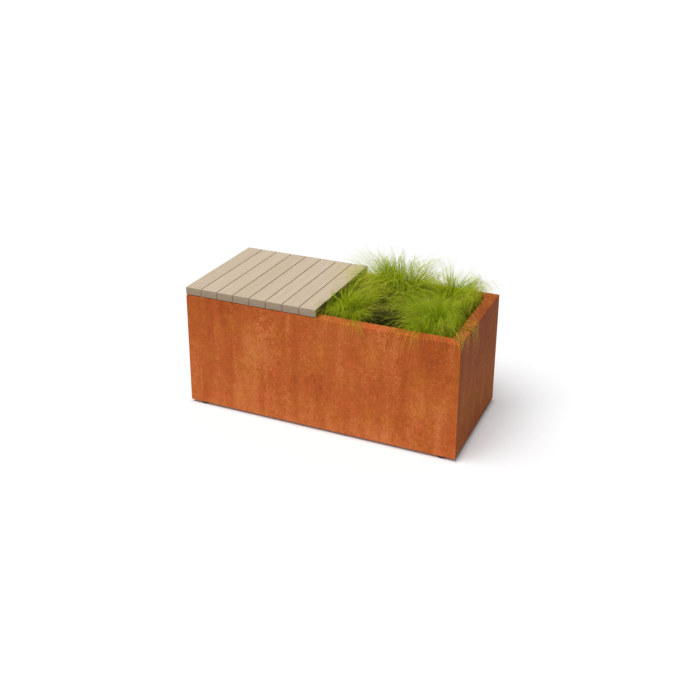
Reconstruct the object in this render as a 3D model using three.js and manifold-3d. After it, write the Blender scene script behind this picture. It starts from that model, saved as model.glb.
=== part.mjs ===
// Bench with planter: a box of folded weathering steel that stands on four levelling feet.
// The left half is closed by a deck of slats to sit on. The right half holds soil, grass and low plants.
// Lengths are in millimetres. +X runs along the length, -Y is the front and +Z is up.
// The origin is on the ground, under the middle of the box.

import * as THREE from "three";
import { mergeVertices } from "three/addons/utils/BufferGeometryUtils.js";
import Module from "manifold-3d";

const wasm = await Module();
wasm.setup();

// Box
const boxLength = 1200;
const boxWidth = 550;
const boxHeight = 495; // of the steel, from the underside of the bottom flange to the rim
const groundGap = 10; // the feet hold the steel this far off the ground
const sheet = 3; // thickness of all the sheet steel
const bendRadius = 1.5; // inside radius of a fold
const rimWidth = 50; // the flange folded in at the top
const lipDepth = 20; // the edge folded down from the rim
const footFlangeWidth = 45; // the flange folded in at the bottom

// Floor and dividing wall of the planting half
const floorHeight = 30; // of the folded floor, over the bottom flange
const wallClearance = 2; // between the walls and what stands inside them
const dividerInset = 25; // from the edge of the deck back under it
const dividerDrop = 6; // from the rim down to the top of the dividing wall
const drainHoleRadius = 10;
const drainHoleColumns = 3;
const drainHoleRows = 2;

// Deck
const deckLength = 600;
const slatCount = 8;
const slatGap = 3.5;
const slatThickness = 35;
const slatEdgeRadius = 2;
const railLeg = 40; // both legs of the aluminium angle
const railThickness = 4;
const railEndMargin = 10; // least distance from a screw to the end of the rail
const screwHeadRadius = 4.5;
const screwHeadHeight = 3;
const screwRadius = 2.2;
const screwGrip = 22; // how far a screw reaches into its slat
const boltHeadRadius = 5.8;
const boltHeadHeight = 4;
const boltRadius = 3;
const boltOverrun = 4; // how far a bolt stands out behind the lip
const boltDrop = 12; // from the rim down to the middle of a bolt
const boltPlaceShares = [0.2, 0.8]; // of the length of the rail

// Levelling feet
const footInset = 60; // from the end of the box to the middle of a foot
const padRadius = 18;
const padSocketDepth = 3; // how deep the stem sits in its pad
const stemRadius = 5;
const nutAcrossFlats = 17;
const nutHeight = 8;

// Planting
const soilDrop = 35; // from the rim down to the soil
const drainageDepth = 50;
const fleeceThickness = 2;
const grassHeight = 190; // of the tallest blades, over the soil
const crownRadius = 40; // the dense foot of a tuft
const crownHeight = 60;
const bladeWidth = 6;
const bladeTipWidth = 1.6;
const bladeTipLift = 22; // of the hanging tips over the rim
const grassMargin = 5; // between the blades and the deck, and the box's outline
const tuftMargin = 7; // between the blades of two tufts
const coverHeight = 24;
const bladesPerTuft = 28;
const bladeSteps = 5;

// Middles of the tufts, as shares of the planting area's length and width, from its front left corner
const tuftPlaceShares = {
  back_left: [0.2, 0.79],
  back_right: [0.74, 0.82],
  centre: [0.46, 0.52],
  front_left: [0.19, 0.25],
  front_right: [0.78, 0.27],
};

// Low plants between the tufts: middle and half size, as shares of the same area
const coverPlaceShares = {
  front: { middle: [0.48, 0.14], half: [0.17, 0.12] },
  deck_side: { middle: [0.12, 0.52], half: [0.1, 0.14] },
  right: { middle: [0.88, 0.54], half: [0.1, 0.14] },
};

// How the sizes of a tuft's blades spread, as shares
const bladeReachShares = [0.5, 1]; // of the room around the tuft
const bladeHeightShares = [0.62, 1]; // of the tallest blade
const bladeRootShare = 0.84; // of the crown's radius, over which the blades are rooted
const bladeLiftShare = 0.4; // of the crown's height, at which they are rooted
const bladeBendShare = 0.3; // of its reach, where a blade's curve is drawn up
const crownProfileShares = [[0.85, 0], [1, 0.25], [0.75, 0.75], [0.35, 1]];
const coverProfileShares = [[0.9, 0], [1, 0.35], [0.8, 0.8], [0.4, 1]];

// Fits and fineness
const fit = 0.3; // running or sliding gap between two pieces
const overrun = 5; // how far a cutting shape runs past what it cuts
const foldSteps = 2;
const edgeSteps = 1;
const roundSides = 12;
const hexSides = 6;
const padSides = 24;
const crownSides = 10;
const coverSides = 14;

// Places worked out from these sizes
const rimTop = groundGap + boxHeight;
const flangeTop = groundGap + sheet;
const lipBottom = rimTop - lipDepth;
const halfLength = boxLength / 2;
const halfWidth = boxWidth / 2;
const openHalfWidth = halfWidth - rimWidth; // between the lips
const floorTop = flangeTop + floorHeight;
const floorUnderside = floorTop - sheet;
const deckStart = -halfLength;
const deckEnd = deckStart + deckLength;
const dividerStart = deckEnd - dividerInset;
const dividerEnd = dividerStart + sheet;
const slatWidth = (deckLength - (slatCount - 1) * slatGap) / slatCount;
const slatPitch = slatWidth + slatGap;
const railStart = deckStart + rimWidth + fit;
const railEnd = dividerStart - wallClearance;
const railFace = openHalfWidth - fit; // outer face of a rail, from the middle of the box
const footPlace = halfWidth - footFlangeWidth / 2;
const soilTop = rimTop - soilDrop;
const slatNumbers = Array.from({ length: slatCount }, (_, index) => index + 1);
const sides = { front: -1, back: 1 };
const ends = { left: -1, right: 1 };

const materials = {
  corten: new THREE.MeshStandardMaterial({ color: 0xb35d31, roughness: 0.85, metalness: 0.15 }),
  slat: new THREE.MeshStandardMaterial({ color: 0xcab59e, roughness: 0.75, metalness: 0 }),
  aluminium: new THREE.MeshStandardMaterial({ color: 0xb8bbbd, roughness: 0.45, metalness: 1 }),
  stainless: new THREE.MeshStandardMaterial({ color: 0xc4c6c8, roughness: 0.3, metalness: 1 }),
  zinc: new THREE.MeshStandardMaterial({ color: 0x9fa3a6, roughness: 0.5, metalness: 1 }),
  glide: new THREE.MeshStandardMaterial({ color: 0x202021, roughness: 0.6, metalness: 0 }),
  soil: new THREE.MeshStandardMaterial({ color: 0x3a2c20, roughness: 1, metalness: 0 }),
  clay: new THREE.MeshStandardMaterial({ color: 0x8a5238, roughness: 1, metalness: 0 }),
  fleece: new THREE.MeshStandardMaterial({ color: 0xd8d8d2, roughness: 1, metalness: 0 }),
  grass: new THREE.MeshStandardMaterial({ color: 0x7d9a22, roughness: 0.6, metalness: 0 }),
  cover: new THREE.MeshStandardMaterial({ color: 0x3f5a24, roughness: 0.7, metalness: 0 }),
};

function solidOf(geometry) {
  const bare = geometry.clone();
  bare.deleteAttribute("normal");
  bare.deleteAttribute("uv");
  const merged = mergeVertices(bare);
  const vertProperties = Float32Array.from(merged.attributes.position.array);
  const triVerts = Uint32Array.from(merged.index.array);
  return new wasm.Manifold(new wasm.Mesh({ numProp: 3, vertProperties, triVerts }));
}

function geometryOf(solid) {
  const { vertProperties, triVerts } = solid.getMesh();
  const geometry = new THREE.BufferGeometry();
  geometry.setAttribute("position", new THREE.BufferAttribute(vertProperties, 3));
  geometry.setIndex(new THREE.BufferAttribute(triVerts, 1));
  return geometry;
}

function cut(geometry, holes) {
  return geometryOf(holes.reduce((solid, hole) => solid.subtract(solidOf(hole)), solidOf(geometry)));
}

// Pieces joined to one, with any pocket that they shut in filled
function join(pieces) {
  const whole = pieces.map(solidOf).reduce((solid, piece) => solid.add(piece));
  const shells = whole.decompose().filter((shell) => shell.volume() > 0);
  return geometryOf(shells.reduce((solid, shell) => solid.add(shell)));
}

function addMesh(group, name, geometry, material) {
  const mesh = new THREE.Mesh(geometry, materials[material].clone());
  mesh.name = name;
  group.add(mesh);
  return mesh;
}

function between(start, end, share) {
  return start + (end - start) * share;
}

function block(xs, ys, zs) {
  const [width, depth, height] = [xs, ys, zs].map(([start, end]) => Math.abs(end - start));
  const middle = [xs, ys, zs].map(([start, end]) => (start + end) / 2);
  return new THREE.BoxGeometry(width, depth, height).translate(...middle);
}

function upright(radius, x, y, bottom, top, count = roundSides) {
  return new THREE.CylinderGeometry(radius, radius, top - bottom, count)
    .rotateX(Math.PI / 2)
    .translate(x, y, (bottom + top) / 2);
}

function crosswise(radius, x, z, near, far, count = roundSides) {
  return new THREE.CylinderGeometry(radius, radius, Math.abs(far - near), count)
    .translate(x, (near + far) / 2, z);
}

// An outline from its square corners, each [x, y, radius], counted anticlockwise
function outline(corners) {
  const shape = new THREE.Shape();
  corners.forEach(([x, y, radius], index) => {
    const corner = new THREE.Vector2(x, y);
    const before = corners.at(index - 1);
    const after = corners[(index + 1) % corners.length];
    const toBefore = new THREE.Vector2(before[0] - x, before[1] - y).normalize();
    const toAfter = new THREE.Vector2(after[0] - x, after[1] - y).normalize();
    if (!radius) {
      if (index === 0) shape.moveTo(x, y);
      else shape.lineTo(x, y);
      return;
    }
    const middle = corner.addScaledVector(toBefore, radius).addScaledVector(toAfter, radius);
    const start = Math.atan2(-toAfter.y, -toAfter.x);
    const end = Math.atan2(-toBefore.y, -toBefore.x);
    const clockwise = toBefore.cross(toAfter) > 0;
    shape.absarc(middle.x, middle.y, radius, start, end, clockwise);
  });
  return shape;
}

// Section of a wall panel: x is the distance inwards from its outer face, y the height
function panelSection() {
  const outer = bendRadius + sheet;
  return outline([
    [footFlangeWidth, groundGap, 0],
    [footFlangeWidth, flangeTop, 0],
    [sheet, flangeTop, bendRadius],
    [sheet, rimTop - sheet, bendRadius],
    [rimWidth - sheet, rimTop - sheet, bendRadius],
    [rimWidth - sheet, lipBottom, 0],
    [rimWidth, lipBottom, 0],
    [rimWidth, rimTop, outer],
    [0, rimTop, outer],
    [0, groundGap, outer],
  ]);
}

// A wall panel along X with its outer face at y = 0. Its ends are mitred, so that they meet its neighbours'.
function foldedPanel(length) {
  const settings = { depth: 1, bevelEnabled: false, curveSegments: foldSteps };
  const geometry = new THREE.ExtrudeGeometry(panelSection(), settings);
  const position = geometry.attributes.position;
  for (let index = 0; index < position.count; index += 1) {
    const inward = position.getX(index);
    const reach = length / 2 - inward - fit / Math.SQRT2;
    const end = 2 * position.getZ(index) - 1;
    position.setXYZ(index, end * reach, inward, position.getY(index));
  }
  return geometry;
}

function boltPlaces() {
  return boltPlaceShares.map((share) => between(railStart, railEnd, share));
}

// Front and back panels: holes for the levelling feet in the bottom flange and for the deck bolts in the lip
function longPanel(direction) {
  const footHoles = Object.values(ends).map((end) => {
    const x = end * (halfLength - footInset);
    return upright(stemRadius + fit, x, footFlangeWidth / 2, groundGap - overrun, flangeTop + overrun);
  });
  const boltHoles = boltPlaces().map((place) => {
    const x = -direction * place;
    const near = rimWidth - sheet - overrun;
    return crosswise(boltRadius + fit, x, rimTop - boltDrop, near, rimWidth + overrun);
  });
  return cut(foldedPanel(boxLength), [...footHoles, ...boltHoles]);
}

function makeBox() {
  const group = new THREE.Group();
  for (const [name, side] of Object.entries(sides)) {
    const panel = addMesh(group, `${name}_panel`, longPanel(side), "corten");
    panel.position.y = side * halfWidth;
    panel.rotation.z = side < 0 ? 0 : Math.PI;
  }
  for (const [name, end] of Object.entries(ends)) {
    const panel = addMesh(group, `${name}_end_panel`, foldedPanel(boxWidth), "corten");
    panel.position.x = end * halfLength;
    panel.rotation.z = (end * Math.PI) / 2;
  }
  return group;
}

// Floor of the planting half: a sheet with four edges folded down, on the bottom flanges
function makeFloor() {
  const group = new THREE.Group();
  const start = dividerEnd + wallClearance;
  const end = halfLength - sheet - wallClearance;
  const side = halfWidth - sheet - wallClearance;
  const cavity = block(
    [start + sheet, end - sheet],
    [sheet - side, side - sheet],
    [flangeTop - overrun, floorUnderside],
  );
  const holes = [];
  for (let column = 1; column <= drainHoleColumns; column += 1) {
    for (let row = 1; row <= drainHoleRows; row += 1) {
      const x = between(start, end, column / (drainHoleColumns + 1));
      const y = between(-side, side, row / (drainHoleRows + 1));
      holes.push(upright(drainHoleRadius, x, y, flangeTop, floorTop + overrun));
    }
  }
  const tray = block([start, end], [-side, side], [flangeTop, floorTop]);
  addMesh(group, "base_panel", cut(tray, [cavity, ...holes]), "corten");
  return group;
}

// Dividing wall: it stands on the bottom flanges, and a narrower neck rises between the lips
function makeDivider() {
  const group = new THREE.Group();
  const wide = halfWidth - sheet - wallClearance;
  const narrow = openHalfWidth - wallClearance;
  const shoulder = lipBottom - wallClearance;
  const top = rimTop - dividerDrop;
  const shape = outline([
    [-wide, flangeTop, 0],
    [wide, flangeTop, 0],
    [wide, shoulder, 0],
    [narrow, shoulder, 0],
    [narrow, top, 0],
    [-narrow, top, 0],
    [-narrow, shoulder, 0],
    [-wide, shoulder, 0],
  ]);
  const geometry = new THREE.ExtrudeGeometry(shape, { depth: sheet, bevelEnabled: false });
  geometry.rotateX(Math.PI / 2).rotateZ(Math.PI / 2);
  const divider = addMesh(group, "divider_panel", geometry, "corten");
  divider.position.x = dividerStart;
  return group;
}

function slatMiddle(number) {
  return deckStart + slatWidth / 2 + (number - 1) * slatPitch;
}

function screwPlace(number) {
  return Math.max(slatMiddle(number), railStart + railEndMargin);
}

function screwRow(side) {
  return side * (railFace - railLeg / 2);
}

function slat(number) {
  const half = slatWidth / 2;
  const top = rimTop + slatThickness;
  const shape = outline([
    [-half, rimTop, slatEdgeRadius],
    [half, rimTop, slatEdgeRadius],
    [half, top, slatEdgeRadius],
    [-half, top, slatEdgeRadius],
  ]);
  const settings = { depth: boxWidth, bevelEnabled: false, curveSegments: edgeSteps };
  const board = new THREE.ExtrudeGeometry(shape, settings)
    .rotateX(Math.PI / 2)
    .translate(slatMiddle(number), halfWidth, 0);
  const holeTop = rimTop + screwGrip + fit;
  const holes = Object.values(sides).map((side) =>
    upright(screwRadius + fit, screwPlace(number), screwRow(side), rimTop - overrun, holeTop),
  );
  return cut(board, holes);
}

// Angle rail under the slats: its upright leg lies against the lip of the box
function rail(side) {
  const outer = side * railFace;
  const inner = outer - side * railThickness;
  const underside = rimTop - railThickness;
  const length = [railStart, railEnd];
  const flatLeg = block(length, [outer, outer - side * railLeg], [underside, rimTop]);
  const uprightLeg = block(length, [outer, inner], [rimTop - railLeg, rimTop]);
  const screwHoles = slatNumbers.map((number) =>
    upright(screwRadius + fit, screwPlace(number), screwRow(side), underside - overrun, rimTop + overrun),
  );
  const boltHoles = boltPlaces().map((x) =>
    crosswise(boltRadius + fit, x, rimTop - boltDrop, inner - side * overrun, outer + side * overrun),
  );
  return cut(join([flatLeg, uprightLeg]), [...screwHoles, ...boltHoles]);
}

function slatScrew(number, side) {
  const [x, y] = [screwPlace(number), screwRow(side)];
  const underside = rimTop - railThickness;
  const head = upright(screwHeadRadius, x, y, underside - screwHeadHeight, underside);
  const shank = upright(screwRadius, x, y, underside - screwHeadHeight / 2, rimTop + screwGrip);
  return join([head, shank]);
}

function deckBolt(x, side) {
  const z = rimTop - boltDrop;
  const seat = side * (railFace - railThickness);
  const tip = side * (openHalfWidth + sheet + boltOverrun);
  const head = crosswise(boltHeadRadius, x, z, seat - side * boltHeadHeight, seat, hexSides);
  const shank = crosswise(boltRadius, x, z, seat - (side * boltHeadHeight) / 2, tip);
  return join([head, shank]);
}

function makeDeck() {
  const group = new THREE.Group();
  for (const number of slatNumbers) {
    addMesh(group, `seat_slat_${number}`, slat(number), "slat");
  }
  for (const [name, side] of Object.entries(sides)) {
    addMesh(group, `deck_rail_${name}`, rail(side), "aluminium");
    for (const number of slatNumbers) {
      addMesh(group, `slat_screw_${number}_${name}`, slatScrew(number, side), "stainless");
    }
    boltPlaces().forEach((x, index) => {
      addMesh(group, `deck_bolt_${name}_${index + 1}`, deckBolt(x, side), "stainless");
    });
  }
  return group;
}

// A levelling foot with its middle at the origin: pad on the ground, stem up through the flange and its nut
function makeFoot(name) {
  const group = new THREE.Group();
  const stemBottom = groundGap - padSocketDepth;
  const stemTop = floorUnderside - wallClearance;
  const pad = upright(padRadius, 0, 0, 0, groundGap, padSides);
  const socket = upright(stemRadius + fit, 0, 0, stemBottom - fit, groundGap + overrun);
  addMesh(group, `foot_pad_${name}`, cut(pad, [socket]), "glide");
  addMesh(group, `foot_stem_${name}`, upright(stemRadius, 0, 0, stemBottom, stemTop), "zinc");
  const nutRadius = nutAcrossFlats / Math.sqrt(3);
  const nut = upright(nutRadius, 0, 0, flangeTop, flangeTop + nutHeight, hexSides);
  const thread = upright(stemRadius + fit, 0, 0, flangeTop - overrun, flangeTop + nutHeight + overrun);
  addMesh(group, `foot_nut_${name}`, cut(nut, [thread]), "zinc");
  return group;
}

function makeFeet() {
  const group = new THREE.Group();
  for (const [sideName, side] of Object.entries(sides)) {
    for (const [endName, end] of Object.entries(ends)) {
      const foot = makeFoot(`${sideName}_${endName}`);
      foot.position.set(end * (halfLength - footInset), side * footPlace, 0);
      group.add(foot);
    }
  }
  return group;
}

// Clay pebbles, fleece and soil fill the planting half from wall to wall
function makeFilling() {
  const group = new THREE.Group();
  const length = [dividerEnd + fit, halfLength - sheet - fit];
  const width = [sheet + fit - halfWidth, halfWidth - sheet - fit];
  const drainageTop = floorTop + drainageDepth;
  const fleeceTop = drainageTop + fleeceThickness;
  addMesh(group, "drainage_layer", block(length, width, [floorTop, drainageTop]), "clay");
  addMesh(group, "filter_fleece", block(length, width, [drainageTop, fleeceTop]), "fleece");
  addMesh(group, "soil_fill", block(length, width, [fleeceTop, soilTop]), "soil");
  return group;
}

function plantingPlace([lengthShare, widthShare]) {
  const x = between(deckEnd, halfLength - rimWidth, lengthShare);
  const y = between(-openHalfWidth, openHalfWidth, widthShare);
  return new THREE.Vector2(x, y);
}

// How far a blade may reach from its tuft in one direction: up to the deck, the box's outline and the
// line halfway to each other tuft
function roomFor(place, direction, others) {
  const [low, high] = [deckEnd + grassMargin, halfLength - grassMargin];
  const wide = halfWidth - grassMargin;
  const walls = [
    [high - place.x, direction.x],
    [place.x - low, -direction.x],
    [wide - place.y, direction.y],
    [wide + place.y, -direction.y],
  ];
  const neighbours = others.map((other) => {
    const apart = other.clone().sub(place);
    return [(apart.length() - tuftMargin) / 2, direction.dot(apart) / apart.length()];
  });
  const towards = [...walls, ...neighbours].filter(([, share]) => share > 0);
  return Math.min(...towards.map(([distance, share]) => distance / share));
}

// A tapered three-sided blade along a curve that leaves the crown steeply, arches over and hangs its tip
function blade(direction, outward, reach, height) {
  const root = new THREE.Vector2(outward * bladeRootShare * crownRadius, bladeLiftShare * crownHeight);
  const tip = new THREE.Vector2(reach, soilDrop + bladeTipLift);
  const drawn = new THREE.Vector2(between(root.x, reach, bladeBendShare), 2 * height - (root.y + tip.y) / 2);
  const curve = new THREE.QuadraticBezierCurve(root, drawn, tip);
  const points = [];
  for (let step = 0; step <= bladeSteps; step += 1) {
    const share = step / bladeSteps;
    const middle = curve.getPoint(share);
    const along = curve.getTangent(share);
    const half = between(bladeWidth, bladeTipWidth, share) / 2;
    for (const [sideways, raised] of [[1, 0], [-1, 0], [0, 1]]) {
      const distance = middle.x - along.y * raised * half;
      const lift = middle.y + along.x * raised * half;
      points.push(
        direction.x * distance + direction.y * sideways * half,
        direction.y * distance - direction.x * sideways * half,
        lift,
      );
    }
  }
  const faces = [0, 2, 1];
  for (let step = 0; step < bladeSteps; step += 1) {
    for (let corner = 0; corner < 3; corner += 1) {
      const [here, next] = [3 * step + corner, 3 * step + ((corner + 1) % 3)];
      faces.push(here, next, next + 3, here, next + 3, here + 3);
    }
  }
  const end = 3 * bladeSteps;
  faces.push(end, end + 1, end + 2);
  const geometry = new THREE.BufferGeometry();
  geometry.setAttribute("position", new THREE.Float32BufferAttribute(points, 3));
  geometry.setIndex(faces);
  return geometry;
}

// A closed dome from its profile, given as shares of a radius and a height
function dome(profileShares, radius, height, count) {
  const profile = profileShares.map(([outward, lift]) => new THREE.Vector2(outward * radius, lift * height));
  const points = [new THREE.Vector2(0, 0), ...profile, new THREE.Vector2(0, height)];
  return new THREE.LatheGeometry(points, count).rotateX(Math.PI / 2);
}

function tuft(place, others) {
  const goldenAngle = Math.PI * (3 - Math.sqrt(5));
  const blades = [];
  for (let number = 0; number < bladesPerTuft; number += 1) {
    const angle = number * goldenAngle;
    const direction = new THREE.Vector2(Math.cos(angle), Math.sin(angle));
    const outward = Math.sqrt((number + 1) / bladesPerTuft);
    const reach = roomFor(place, direction, others) * between(...bladeReachShares, outward);
    const height = grassHeight * between(...bladeHeightShares.toReversed(), outward);
    blades.push(blade(direction, outward, reach, height));
  }
  return join([dome(crownProfileShares, crownRadius, crownHeight, crownSides), ...blades]);
}

function makePlants() {
  const group = new THREE.Group();
  group.position.z = soilTop;
  const places = Object.values(tuftPlaceShares).map(plantingPlace);
  Object.keys(tuftPlaceShares).forEach((name, index) => {
    const others = places.filter((_, other) => other !== index);
    const mesh = addMesh(group, `grass_tuft_${name}`, tuft(places[index], others), "grass");
    mesh.position.set(places[index].x, places[index].y, 0);
  });
  for (const [name, { middle, half }] of Object.entries(coverPlaceShares)) {
    const place = plantingPlace(middle);
    const halfSizes = [half[0] * (halfLength - rimWidth - deckEnd), 2 * half[1] * openHalfWidth];
    const mound = dome(coverProfileShares, 1, 1, coverSides).scale(...halfSizes, coverHeight);
    const mesh = addMesh(group, `ground_cover_${name}`, mound, "cover");
    mesh.position.set(place.x, place.y, 0);
  }
  return group;
}

const bench = new THREE.Group();
bench.add(makeBox(), makeFloor(), makeDivider(), makeDeck(), makeFeet(), makeFilling(), makePlants());

export default bench;
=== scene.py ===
# %% [markdown]
# # Bench with planter
# A box of folded weathering steel stands on four small feet. Half of it is closed by a deck of wooden
# slats to sit on, and the other half is planted with fine, arching grass. The construction comes from a
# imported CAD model. This notebook gives each of its pieces the look of the real one, and models the soft
# and natural things, such as grass, leaves, soil and planed wood, that a CAD solid only stands for.

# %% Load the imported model
import math

import bpy
import numpy as np
from mathutils import Matrix, Vector, noise


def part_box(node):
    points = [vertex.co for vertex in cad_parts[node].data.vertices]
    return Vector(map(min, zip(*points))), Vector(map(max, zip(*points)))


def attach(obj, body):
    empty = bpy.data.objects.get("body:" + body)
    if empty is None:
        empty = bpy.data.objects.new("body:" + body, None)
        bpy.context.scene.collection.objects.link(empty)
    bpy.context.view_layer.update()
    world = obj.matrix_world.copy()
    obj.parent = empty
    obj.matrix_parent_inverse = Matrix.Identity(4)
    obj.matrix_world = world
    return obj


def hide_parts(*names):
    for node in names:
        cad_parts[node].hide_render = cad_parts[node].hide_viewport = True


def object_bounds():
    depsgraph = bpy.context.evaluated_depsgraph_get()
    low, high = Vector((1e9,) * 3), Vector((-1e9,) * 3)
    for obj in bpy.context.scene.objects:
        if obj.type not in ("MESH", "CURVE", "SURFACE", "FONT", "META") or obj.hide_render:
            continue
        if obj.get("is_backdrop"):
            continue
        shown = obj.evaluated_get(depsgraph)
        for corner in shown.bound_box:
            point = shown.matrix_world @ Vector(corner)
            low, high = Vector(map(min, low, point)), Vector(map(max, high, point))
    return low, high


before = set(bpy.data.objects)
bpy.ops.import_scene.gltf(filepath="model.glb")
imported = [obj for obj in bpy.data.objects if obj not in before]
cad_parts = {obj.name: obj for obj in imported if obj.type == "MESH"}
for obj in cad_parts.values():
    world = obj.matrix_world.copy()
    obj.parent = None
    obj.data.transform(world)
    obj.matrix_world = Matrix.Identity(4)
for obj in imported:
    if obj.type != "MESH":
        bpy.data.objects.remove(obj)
cad_low, cad_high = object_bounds()
MM = 0.001
RIM_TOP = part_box("front_panel")[1].z
print("nodes:", len(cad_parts), "size in m:", [round(x, 3) for x in cad_high - cad_low])

# %% [markdown]
# The photograph was taken from the front right, well above the seat. Its corners gave the camera's
# place, its angle and its lens. The lens is shifted a little, as in a product photograph, so that the
# upright edges lean in less than a plain downward view would show.

# %% The camera
CAMERA_PLACE = (1.4884, -3.4530, 2.0455)
CAMERA_AZIMUTH = 24.44
CAMERA_ELEVATION = 20.59
SENSOR = 36.0
LENS = 49.57
SHIFT_RIGHT = 0.035
SHIFT_UP = -0.12
FARTHEST = 200  # m, so that the floor doesn't end before the horizon

bpy.ops.object.camera_add(location=CAMERA_PLACE)
camera = bpy.context.object
camera.name = "photo_camera"
camera.rotation_euler = (math.radians(90 - CAMERA_ELEVATION), 0, math.radians(CAMERA_AZIMUTH))
camera.data.sensor_width = SENSOR
camera.data.lens = LENS
camera.data.shift_x = SHIFT_RIGHT
camera.data.shift_y = SHIFT_UP
camera.data.clip_end = FARTHEST
scene = bpy.context.scene
scene.camera = camera
scene.view_settings.view_transform = "Standard"
print("camera at", CAMERA_PLACE, "with a lens of", LENS, "mm")

# %% [markdown]
# A material is a small graph of nodes. One function adds a node with its settings and its inputs and, where
# it is a colour ramp, its stops. Another turns a hex colour to the linear values that a shader wants.

# %% Helpers for materials
def linear(hex_colour):
    """An sRGB colour such as "B45E30" as linear RGBA."""
    values = [int(hex_colour[k : k + 2], 16) / 255 for k in (0, 2, 4)]
    return [v / 12.92 if v <= 0.04045 else ((v + 0.055) / 1.055) ** 2.4 for v in values] + [1.0]


def node(tree, kind, inputs=None, stops=(), **settings):
    """Adds a shader node. An input is a value or another node's output, a stop is (place, hex colour)."""
    made = tree.nodes.new(kind)
    for name, value in settings.items():
        setattr(made, name, value)
    for socket, value in (inputs or {}).items():
        if isinstance(value, bpy.types.NodeSocket):
            tree.links.new(value, made.inputs[socket])
        else:
            made.inputs[socket].default_value = value
    elements = made.color_ramp.elements if stops else ()
    while len(elements) < len(stops):
        elements.new(1.0)
    for element, (place, hex_colour) in zip(elements, stops):
        element.position = place
        element.color = linear(hex_colour)
    return made


def new_material(name):
    """An empty material: returns it and its node tree."""
    material = bpy.data.materials.new(name)
    material.use_nodes = True
    material.node_tree.nodes.clear()
    return material, material.node_tree


def give(material, names):
    """Gives CAD nodes a material in place of the plain one that they came with."""
    for name in names:
        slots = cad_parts[name].data.materials
        slots.clear()
        slots.append(material)
    print(material.name, "for:", len(names), "pieces")


# %% [markdown]
# ## Light
# The box stands in a white studio. One very broad light hangs over it, a little to the front and the left,
# and nearly all the other light comes up from the pale floor. So the top is brightest, the front is a
# little darker and brighter near the floor, and the right end, which sees only the shaded floor, is the
# darkest side. The width of the soft shadow on the floor gave the light's place and size. The floor and
# the world are white to the camera and to reflections only, so the background adds no light of its own.
# Under the box the floor keeps nearly all its shade, because the lift is small there and grows back only over
# a short way beside the box; that strip is a painted contact shadow, or the line of contact would turn grey.

# %% The light and the world
TO_LIGHT = Vector((-0.2, -0.33, 0.92))
LIGHT_SPREAD = 44  # degrees across, as a large diffuser has
LIGHT_LEVEL = 0.84 * math.pi
WORLD_LEVEL = 0.18

bpy.ops.object.light_add(type="SUN")
key_light = bpy.context.object
key_light.name = "diffuser"
key_light.data.energy = LIGHT_LEVEL
key_light.data.angle = math.radians(LIGHT_SPREAD)
key_light.rotation_euler = TO_LIGHT.to_track_quat("Z", "Y").to_euler()


def only_seen(tree):
    """1 for what the camera sees, straight on, in a reflection or through glass, and 0 for light."""
    path = node(tree, "ShaderNodeLightPath")
    seen = path.outputs["Is Camera Ray"]
    for name in ("Is Glossy Ray", "Is Transmission Ray"):
        either = node(tree, "ShaderNodeMath", {0: seen, 1: path.outputs[name]}, operation="MAXIMUM")
        seen = either.outputs[0]
    return seen


world = bpy.data.worlds.new("studio")
scene.world = world
world.use_nodes = True
tree = world.node_tree
tree.nodes.clear()
level = node(tree, "ShaderNodeMapRange", {"Value": only_seen(tree), "To Min": WORLD_LEVEL, "To Max": 1.0})
sky = node(tree, "ShaderNodeBackground", {"Color": (1, 1, 1, 1), "Strength": level.outputs[0]})
node(tree, "ShaderNodeOutputWorld", {"Surface": sky.outputs[0]})
print("light level:", round(LIGHT_LEVEL, 2), "spread in degrees:", LIGHT_SPREAD)

# %% The floor
FLOOR_SIDE = 80
FLOOR_LIFT = 0.24  # added to the floor where it is seen
LEAST_LIFT = 0.07  # the same under the box
LIFT_FADE = 18 * MM  # how far from the box the lift is whole

floor_material, tree = new_material("white_studio_floor")
place = node(tree, "ShaderNodeTexCoord").outputs["Object"]
from_middle = node(tree, "ShaderNodeVectorMath", {0: place}, operation="ABSOLUTE").outputs[0]
beyond = node(tree, "ShaderNodeVectorMath", {0: from_middle, 1: cad_high}, operation="SUBTRACT").outputs[0]
sides = node(tree, "ShaderNodeSeparateXYZ", {"Vector": beyond})
distance = node(tree, "ShaderNodeMath", {0: sides.outputs["X"], 1: sides.outputs["Y"]}, operation="MAXIMUM")
# The lift is least under the box and fades in beside it, which paints a darker contact shadow along its foot
rising = {"Value": distance.outputs[0], "From Max": LIFT_FADE, "To Min": LEAST_LIFT, "To Max": FLOOR_LIFT}
lift_with_painted_contact_shadow = node(tree, "ShaderNodeMapRange", rising).outputs[0]
lift = node(tree, "ShaderNodeMath", {0: only_seen(tree), 1: lift_with_painted_contact_shadow}, operation="MULTIPLY")
paint = node(tree, "ShaderNodeBsdfDiffuse", {"Color": linear("E8E9EA")})
glow = node(tree, "ShaderNodeEmission", {"Color": (1, 1, 1, 1), "Strength": lift.outputs[0]})
both = node(tree, "ShaderNodeAddShader", {0: paint.outputs[0], 1: glow.outputs[0]})
node(tree, "ShaderNodeOutputMaterial", {"Surface": both.outputs[0]})

bpy.ops.mesh.primitive_plane_add(size=FLOOR_SIDE)
floor = bpy.context.object
floor.name = "studio_floor"
floor.data.materials.append(floor_material)
floor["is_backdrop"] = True
print("floor side in m:", FLOOR_SIDE)

# %% [markdown]
# ## Weathering steel
# Weathering steel is left bare, and rain gives it a dry, tight coat of rust. The coat is matt and never one
# colour. It has broad clouds, upright runs where water came down, mottles and freckles. Pale specks and
# dark stains lie on it in clusters. Each of these could be painted, but then it would belong to one view.
# So each is a noise at its own real size. They are added up, and a ramp turns the sum to a colour between
# dark and light rust.

# %% Layers of a rust coat
MIDDLE = 0.5  # of a noise, and of a ramp
CLUSTER = 9  # how many times wider than a speck a cluster of specks is
SPECK_EDGE = (1.08, 1.3)  # of the sum of two noises, where a speck starts and where it is whole


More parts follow.
